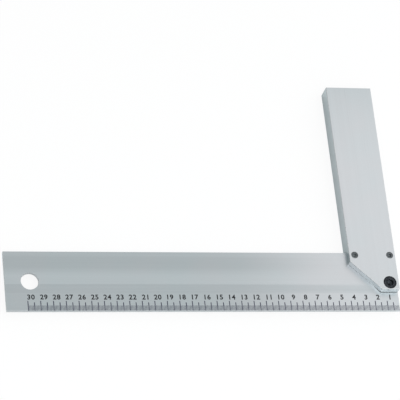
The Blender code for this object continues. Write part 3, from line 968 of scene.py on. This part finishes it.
class SQUARE_OT_screws(bpy.types.Operator):
    """Model the pivot screw and the clamp screw, with sockets, knurled heads and threads"""

    bl_idname = "square.screws"
    bl_label = "Cap screws"
    bl_options = {"REGISTER", "UNDO"}

    def execute(self, context):
        """Model one screw at each place."""
        scene = context.scene
        sizes = scene.square_fasteners
        colours = scene.square_colours
        for name, axis in SCREW_AXES.items():
            screw = self.screw(name + "_cap_screw", axis, sizes)
            wear(
                screw,
                turned_finish(name + "_dark_steel", colours.dark_steel, axis, lift=1.6),
                rubbed_finish(name + "_rubbed_steel", colours.worn_steel),
            )
            rub_rim(screw, axis, sizes.screw_key)
            deliver(screw, name + "_screw", "dark_steel", name + "_screw")
        return {"FINISHED"}

    def screw(self, name, axis, sizes):
        """Return a socket head cap screw."""
        head = HEAD_RADIUS
        top = SCREW_HIGH.z
        head_back = top - sizes.screw_head
        shank = sizes.screw_shank
        root = shank - sizes.thread_depth
        thread = [(head - sizes.chamfer / 2, head_back), (shank, head_back), (shank, BLADE_LOW.z)]
        level = BLADE_LOW.z
        while level - sizes.thread_pitch > SCREW_LOW.z + sizes.chamfer:
            thread.append((root, level - sizes.thread_pitch / 2))
            level -= sizes.thread_pitch
            thread.append((shank, level))
        thread.append((shank - sizes.chamfer, SCREW_LOW.z))
        band_bottom = head_back + sizes.chamfer / 2
        band_top = top - sizes.chamfer
        rim = [(head - sizes.chamfer, top)]
        screw = turned(name, axis, head, band_bottom, band_top, SMALL_SIDES, thread, rim)
        knurl(screw, axis, head, SMALL_SIDES, sizes.knurl)
        sink_hexagon(screw, axis, sizes.screw_key, top, sizes.screw_socket, sizes.chamfer)
        return screw


class SQUARE_OT_inserts(bpy.types.Operator):
    """Model the flanged threaded inserts in the handle's back"""

    bl_idname = "square.inserts"
    bl_label = "Threaded inserts"
    bl_options = {"REGISTER", "UNDO"}

    def execute(self, context):
        """Model one insert at each screw."""
        scene = context.scene
        sizes = scene.square_fasteners
        flange = FLANGE_RADIUS
        flange_top = INSERT_LOW.z + sizes.insert_flange
        top = INSERT_HIGH.z
        edge = sizes.chamfer / 2
        foot = [(flange, flange_top), (flange, INSERT_LOW.z + edge), (flange - edge, INSERT_LOW.z)]
        bore = sizes.screw_shank + GAP
        for name, axis in SCREW_AXES.items():
            body = (sizes.insert_body, flange_top, top)
            insert = turned(name + "_threaded_insert", axis, *body, SMALL_SIDES, foot)
            cut(insert, new_round("bore", bore, INSERT_LOW.z - OVERRUN, top + OVERRUN, axis, SMALL_SIDES))
            wear(insert, turned_finish(name + "_zinc_insert", scene.square_colours.zinc, axis))
            deliver(insert, "handle", "plated_steel", name + "_insert")
        return {"FINISHED"}


class SQUARE_OT_eccentric(bpy.types.Operator):
    """Model the eccentric with its broad socket head, offset cam and grooved shaft"""

    bl_idname = "square.eccentric"
    bl_label = "Eccentric"
    bl_options = {"REGISTER", "UNDO"}

    def execute(self, context):
        """Model the eccentric."""
        scene = context.scene
        sizes = scene.square_fasteners
        colours = scene.square_colours
        head = ECCENTRIC_RADIUS
        top = ECCENTRIC_HIGH.z
        foot = ECCENTRIC_LOW.z
        head_back = top - sizes.head
        slot_front = BLADE_HIGH.z + GAP
        groove = sizes.shaft - sizes.groove
        shaft = [
            (head - sizes.chamfer, head_back),
            (sizes.journal, head_back),
            (sizes.journal, slot_front),
            (sizes.shaft, slot_front),
            (sizes.shaft, RING_HIGH.z + GAP),
            (groove, RING_HIGH.z + GAP),
            (groove, RING_LOW.z - GAP),
            (sizes.shaft, RING_LOW.z - GAP),
            (sizes.shaft - sizes.chamfer / 3, foot),
        ]
        rim = [(head - sizes.chamfer, top)]
        band = (head_back + sizes.chamfer, top - sizes.chamfer)
        eccentric = turned("eccentric_adjuster", TURNER, head, *band, ROUND_SIDES, shaft, rim)
        knurl(eccentric, TURNER, head, ROUND_SIDES, sizes.knurl * 2)
        cam_axis = TURNER - Vector((0, sizes.cam_offset, 0))
        cam = new_round("cam", sizes.cam, BLADE_LOW.z, (slot_front + head_back) / 2, cam_axis, ROUND_SIDES)
        cut(eccentric, cam, "UNION")
        sink_hexagon(eccentric, TURNER, sizes.key, top, sizes.socket, sizes.chamfer)
        wear(
            eccentric,
            turned_finish("eccentric_black_oxide", colours.black, TURNER, lift=2.2),
            rubbed_finish("eccentric_rubbed_steel", colours.worn_black),
        )
        rub_rim(eccentric, TURNER, sizes.key)
        deliver(eccentric, "eccentric", "black_steel", "eccentric")
        return {"FINISHED"}


class SQUARE_OT_ring(bpy.types.Operator):
    """Model the open spring ring in the eccentric's groove"""

    bl_idname = "square.ring"
    bl_label = "Spring ring"
    bl_options = {"REGISTER", "UNDO"}

    def execute(self, context):
        """Model the ring, open on its upper side."""
        scene = context.scene
        sizes = scene.square_fasteners
        bore = sizes.shaft - sizes.groove + GAP
        below = RING_LOW.z - OVERRUN
        above = RING_HIGH.z + OVERRUN
        ring = new_round("spring_ring", RING_RADIUS, RING_LOW.z, RING_HIGH.z, TURNER, ROUND_SIDES)
        cut(ring, new_round("bore", bore, below, above, TURNER, SMALL_SIDES))
        half = sizes.ring_mouth / 2
        low = Vector((TURNER.x - half, TURNER.y, below))
        high = Vector((TURNER.x + half, TURNER.y + RING_RADIUS + OVERRUN, above))
        cut(ring, new_box("mouth", low, high))
        with editing(ring):
            pick(ring, "EDGE", is_corner)
            bpy.ops.mesh.bevel(offset=sizes.chamfer / 3, segments=2, affect="EDGES")
        wear(ring, turned_finish("zinc_ring", scene.square_colours.zinc, TURNER))
        deliver(ring, "eccentric", "plated_steel", "retaining_ring")
        return {"FINISHED"}


class SQUARE_OT_hidden_parts(bpy.types.Operator):
    """Finish the packed bush and washers, which stay as they are"""

    bl_idname = "square.hidden_parts"
    bl_label = "Bush and washers"
    bl_options = {"REGISTER", "UNDO"}

    def execute(self, context):
        """Give the bush and the washers their metals."""
        colours = context.scene.square_colours
        wear(frame["nodes"]["pivot_bush"], turned_finish("bronze_bush", colours.bronze, PIVOT))
        for name, axis in SCREW_AXES.items():
            washer = name + "_washer"
            wear(frame["nodes"][washer], turned_finish("zinc_" + washer, colours.zinc, axis))
        return {"FINISHED"}


class SQUARE_OT_stage(bpy.types.Operator):
    """Lay the square on a pale floor under soft light, with a camera at the picture's angle"""

    bl_idname = "square.stage"
    bl_label = "Stage"
    bl_options = {"REGISTER", "UNDO"}

    def execute(self, context):
        """Make the floor, the surroundings, the softboxes and the camera."""
        scene = context.scene
        settings = scene.square_stage
        self.floor(settings)
        self.surroundings(scene, settings)
        self.softbox("heel_softbox", settings.heel_box, settings.heel_box_place, settings.heel_box_size)
        self.softbox("front_softbox", settings.front_box, settings.front_box_place, settings.front_box_size)
        self.camera(scene, settings)
        scene.view_settings.view_transform = "Standard"
        return {"FINISHED"}

    def floor(self, settings):
        """Make a pale floor that is white in the open, to the eye and in the metal, and keeps the shadow."""
        deselect()
        level = CAD_BOUNDS[0].z - settings.floor_drop
        bpy.ops.mesh.primitive_plane_add(size=settings.floor_size, location=(0, 0, level))
        floor = settle("floor")
        material = bpy.data.materials.new("pale_floor")
        material.use_nodes = True
        tree = material.node_tree
        tree.nodes.clear()
        paint = add_node(tree, "ShaderNodeBsdfDiffuse", {"Color": (*[settings.floor_tone] * 3, 1)})
        path = add_node(tree, "ShaderNodeLightPath", {})
        eye = path.outputs["Is Camera Ray"]
        seen = eye
        for name in ("Is Glossy Ray", "Is Transmission Ray"):
            seen = combined(tree, "MAXIMUM", seen, path.outputs[name])
        lift = add_node(tree, "ShaderNodeEmission", {"Strength": times(tree, seen, settings.floor_lift)})
        both = add_node(tree, "ShaderNodeAddShader", {0: paint.outputs[0], 1: lift.outputs[0]})
        white = add_node(tree, "ShaderNodeEmission", {"Strength": 1.0})
        links = {0: times(tree, eye, settings.floor_white), 1: both.outputs[0], 2: white.outputs[0]}
        shown = add_node(tree, "ShaderNodeMixShader", links)
        add_node(tree, "ShaderNodeOutputMaterial", {"Surface": shown.outputs[0]})
        wear(floor, material)

    def surroundings(self, scene, settings):
        """Surround the square with a pale studio that has a dark flag low down on the left."""
        world = bpy.data.worlds.new("studio")
        scene.world = world
        world.use_nodes = True
        tree = world.node_tree
        tree.nodes.clear()
        way = add_node(tree, "ShaderNodeTexCoord", {})
        parts = add_node(tree, "ShaderNodeSeparateXYZ", {"Vector": way.outputs["Generated"]})
        rise_stops = [
            (0.0, (0.95, 0.96, 0.97)),
            (0.44, (0.83, 0.86, 0.87)),
            (0.87, (0.74, 0.785, 0.785)),
            (0.95, (0.67, 0.71, 0.715)),
            (1.0, (0.62, 0.66, 0.67)),
        ]
        rise = ramp(tree, parts.outputs["Z"], rise_stops)
        across = shift(tree, parts.outputs["X"], -1.0, 1.0, 0.0, 1.0)
        right_stops = [(0.62, 1.0), (0.8, 1.24), (1.0, 1.3)]
        low_side = grey_ramp(tree, across, [(0.0, 0.10), (0.27, 0.46), (0.38, 1.1), *right_stops])
        high_side = grey_ramp(tree, across, [(0.0, 0.66), (0.27, 0.76), (0.38, 1.07), *right_stops])
        height = shift(tree, parts.outputs["Z"], 0.3, 0.65, 0.0, 1.0)
        side = add_node(tree, "ShaderNodeMixRGB", {"Fac": height, "Color1": low_side, "Color2": high_side})
        strength = times(tree, side.outputs["Color"], settings.sky)
        light = add_node(tree, "ShaderNodeBackground", {"Color": rise, "Strength": strength})
        add_node(tree, "ShaderNodeOutputWorld", {"Surface": light.outputs[0]})

    def softbox(self, name, colour, place, size):
        """Hang a soft light that faces the floor."""
        deselect()
        bpy.ops.object.light_add(type="AREA", location=place)
        softbox = bpy.context.object
        softbox.name = name
        softbox.data.shape = "RECTANGLE"
        softbox.data.size = size[0]
        softbox.data.size_y = size[1]
        glow = max(colour)
        softbox.data.color = [part / glow for part in colour]
        # With this power the softbox is as bright as a surface that glows at the same strength
        softbox.data.energy = glow * size[0] * size[1] * math.pi
        softbox.visible_camera = False

    def camera(self, scene, settings):
        """Stand the camera where the picture was taken."""
        deselect()
        bpy.ops.object.camera_add()
        camera = bpy.context.object
        camera.name = "picture_camera"
        back = -Vector(settings.camera_aim).normalized()
        right = Vector(settings.camera_up).cross(back).normalized()
        turn = Matrix((right, back.cross(right), back)).transposed().to_4x4()
        camera.matrix_world = Matrix.Translation(settings.camera_place) @ turn
        camera.data.lens = settings.lens
        scene.camera = camera


class SQUARE_PT_panel(bpy.types.Panel):
    """The square's pieces and sizes in the sidebar"""

    bl_idname = "SQUARE_PT_panel"
    bl_label = "Carpenter square"
    bl_space_type = "VIEW_3D"
    bl_region_type = "UI"
    bl_category = "Square"

    def draw(self, context):
        """List the pieces, then the sizes that they read."""
        for operator in OPERATORS:
            self.layout.operator(operator.bl_idname)
        for name, group in GROUPS.items():
            box = self.layout.box()
            box.label(text=group.__doc__)
            for key in group.__annotations__:
                box.prop(getattr(context.scene, name), key)


GROUPS = {
    "square_blade": BladeSizes,
    "square_scale": ScaleSizes,
    "square_handle": HandleSizes,
    "square_fasteners": FastenerSizes,
    "square_colours": FinishColours,
    "square_stage": StageSettings,
}
OPERATORS = (
    SQUARE_OT_blade,
    SQUARE_OT_scale_ticks,
    SQUARE_OT_scale_numbers,
    SQUARE_OT_handle,
    SQUARE_OT_plug,
    SQUARE_OT_screws,
    SQUARE_OT_inserts,
    SQUARE_OT_eccentric,
    SQUARE_OT_ring,
    SQUARE_OT_hidden_parts,
    SQUARE_OT_stage,
)


def register():
    """Register the classes and give the scene its settings."""
    for item in (*GROUPS.values(), *OPERATORS, SQUARE_PT_panel):
        bpy.utils.register_class(item)
    for name, group in GROUPS.items():
        setattr(bpy.types.Scene, name, PointerProperty(type=group))


def unregister():
    """Take the settings and the classes away again."""
    for name in GROUPS:
        delattr(bpy.types.Scene, name)
    for item in (SQUARE_PT_panel, *reversed(OPERATORS), *reversed(GROUPS.values())):
        bpy.utils.unregister_class(item)


def main():
    """Model the whole square and its stage."""
    register()
    bpy.ops.square.blade()
    bpy.ops.square.scale_ticks()
    bpy.ops.square.scale_numbers()
    bpy.ops.square.handle()
    bpy.ops.square.plug()
    bpy.ops.square.screws()
    bpy.ops.square.inserts()
    bpy.ops.square.eccentric()
    bpy.ops.square.ring()
    bpy.ops.square.hidden_parts()
    bpy.ops.square.stage()


if __name__ == "__main__":
    main()
